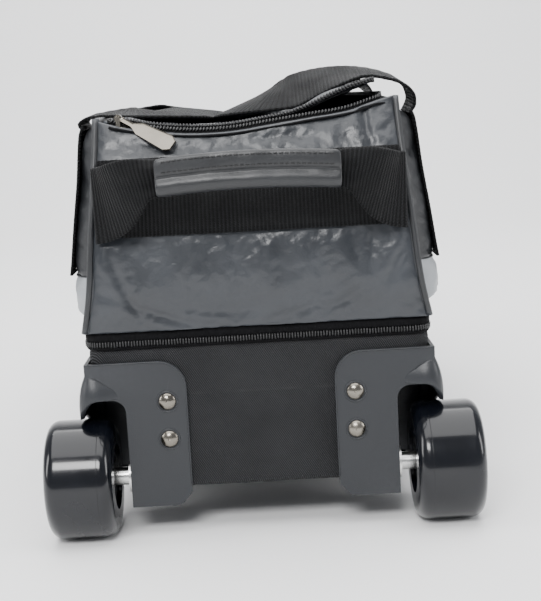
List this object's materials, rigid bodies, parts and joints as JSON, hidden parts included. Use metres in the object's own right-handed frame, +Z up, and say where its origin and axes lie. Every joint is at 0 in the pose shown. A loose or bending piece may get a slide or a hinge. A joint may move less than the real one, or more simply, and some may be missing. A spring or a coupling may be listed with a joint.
{
  "type": "wheeled sports bag",
  "caption": "Wheeled sports bag for balls with moulded wheel housings, zipped lid, webbing carry straps, end grab handles and a telescoping pull handle.",
  "frame": {"origin": "on the ground under the middle of the bag", "axes": "+X across the bag, -Y towards the wheel end, +Z up"},
  "size_m": [0.2912, 0.584, 0.3069],
  "materials": {
    "moulded_pan": "textured",
    "twill": "woven twill",
    "zip_black": "woven tape and nylon coil",
    "leatherette": "satin grain",
    "piping": "satin",
    "lining": "woven",
    "webbing": "ribbed webbing",
    "housing_plastic": "fine texture",
    "grip_plastic": "fine texture",
    "button_plastic": "satin",
    "urethane": "glossy",
    "hub_nylon": "satin",
    "bearing_steel": "polished",
    "zinc_steel": "zinc plated",
    "nickel": "cast nickel",
    "tube_aluminium": "anodised",
    "foam": "closed-cell foam"
  },
  "bodies": {
    "bag": {"base_pan": "moulded_pan", "base_cover": "twill", "base_zip_band": "zip_black", "base_zip_coil": "zip_black", "wheel_housing_left": "housing_plastic", "wheel_housing_right": "housing_plastic", "housing_rivets": "nickel", "rivet_burrs": "nickel", "axle_left": "zinc_steel", "axle_right": "zinc_steel", "axle_washers": "zinc_steel", "axle_spacers": "zinc_steel", "axle_lock_nuts": "zinc_steel", "skid_rails": "housing_plastic", "rear_feet": "housing_plastic", "base_screws": "zinc_steel", "handle_channels": "zinc_steel", "channel_saddles": "housing_plastic", "handle_bezel": "housing_plastic", "foam_cradle": "foam", "end_panel_front": "leatherette", "end_panel_rear": "leatherette", "side_panel_left": "leatherette", "side_panel_right": "leatherette", "corner_piping": "piping", "side_pocket_left": "leatherette", "side_pocket_right": "leatherette", "strap_legs_left": "webbing", "strap_legs_right": "webbing", "end_webbing_front": "webbing", "end_webbing_rear": "webbing", "body_zip": "zip_black"},
    "wheel_left_body": {"tyre_left": "urethane", "wheel_hub_left": "hub_nylon", "wheel_bearings_left": "bearing_steel"},
    "wheel_right_body": {"tyre_right": "urethane", "wheel_hub_right": "hub_nylon", "wheel_bearings_right": "bearing_steel"},
    "lid": {"lid_panel": "leatherette", "lid_lining": "lining", "lid_zip": "zip_black"},
    "strap_left_body": {"carry_strap_left": "webbing"},
    "strap_right_body": {"carry_strap_right": "webbing"},
    "grab_front": {"grab_grip_front": "leatherette", "grab_webbing_front": "webbing"},
    "grab_rear": {"grab_grip_rear": "leatherette", "grab_webbing_rear": "webbing"},
    "top_slider": {"zip_slider": "nickel"},
    "top_puller": {"zip_puller": "nickel"},
    "side_slider": {"base_zip_slider": "nickel"},
    "side_puller": {"base_zip_puller": "nickel"},
    "handle_stage_one": {"mid_tubes": "tube_aluminium", "mid_tube_stops": "housing_plastic"},
    "handle_stage_two": {"inner_tubes": "tube_aluminium", "inner_tube_stops": "housing_plastic", "handle_bar": "grip_plastic", "button_spring": "bearing_steel"},
    "handle_button": {"release_button": "button_plastic"},
    "handle_rods": {"release_rods": "bearing_steel"}
  },
  "joints": [
    {"name": "wheel_left_spin", "type": "hinge", "parent": "bag", "child": "wheel_left_body", "pos_m": [-0.122, -0.2414, 0.04], "axis": [1, 0, 0], "continuous": true},
    {"name": "wheel_right_spin", "type": "hinge", "parent": "bag", "child": "wheel_right_body", "pos_m": [0.122, -0.2414, 0.04], "axis": [1, 0, 0], "continuous": true},
    {"name": "lid_open", "type": "hinge", "parent": "bag", "child": "lid", "pos_m": [-0.0955, 0, 0.279], "axis": [0, -1, 0], "range_deg": [0, 53]},
    {"name": "strap_left_swing", "type": "hinge", "parent": "bag", "child": "strap_left_body", "pos_m": [-0.1175, 0, 0.28], "axis": [0, -1, 0], "range_deg": [0, 180.2]},
    {"name": "strap_right_swing", "type": "hinge", "parent": "bag", "child": "strap_right_body", "pos_m": [0.1175, 0, 0.28], "axis": [0, 1, 0], "range_deg": [0, 180.2]},
    {"name": "grab_front_lift", "type": "hinge", "parent": "bag", "child": "grab_front", "pos_m": [0, -0.2575, 0.228], "axis": [-1, 0, 0], "range_deg": [-50, 40], "deforming": ["grab_webbing_front"]},
    {"name": "grab_rear_lift", "type": "hinge", "parent": "bag", "child": "grab_rear", "pos_m": [0, 0.2575, 0.228], "axis": [1, 0, 0], "range_deg": [-50, 40], "deforming": ["grab_webbing_rear"]},
    {"name": "top_zip_travel", "type": "slide", "parent": "bag", "child": "top_slider", "axis": [1, 0, 0], "range_m": [0, 0.11]},
    {"name": "top_puller_flip", "type": "hinge", "parent": "top_slider", "child": "top_puller", "pos_m": [-0.084, -0.22865, 0.2801], "axis": [0, -1, 0], "range_deg": [0, 130]},
    {"name": "side_zip_travel", "type": "slide", "parent": "bag", "child": "side_slider", "axis": [0, 1, 0], "range_m": [-0.12, 0.06]},
    {"name": "side_puller_swing", "type": "hinge", "parent": "side_slider", "child": "side_puller", "pos_m": [0.119, 0.15, 0.129], "axis": [1, 0, 0], "range_deg": [-60, 60]},
    {"name": "handle_stage_one_pull", "type": "slide", "parent": "bag", "child": "handle_stage_one", "axis": [0, 1, 0], "range_m": [0, 0.3]},
    {"name": "handle_stage_two_pull", "type": "slide", "parent": "handle_stage_one", "child": "handle_stage_two", "axis": [0, 1, 0], "range_m": [0, 0.3]},
    {"name": "handle_button_press", "type": "slide", "parent": "handle_stage_two", "child": "handle_button", "axis": [0, 0, -1], "range_m": [0, 0.002], "stiffness_N_per_m": 1200},
    {"name": "handle_rods_pull", "type": "slide", "parent": "handle_stage_two", "child": "handle_rods", "axis": [0, 1, 0], "range_m": [0, 0.002]}
  ],
  "couplings": [
    {"joint": "strap_left_swing", "follows": "lid_open", "ratio": 3.4},
    {"joint": "strap_right_swing", "follows": "lid_open", "ratio": 3.4},
    {"joint": "handle_rods_pull", "follows": "handle_button_press", "ratio": 1}
  ]
}
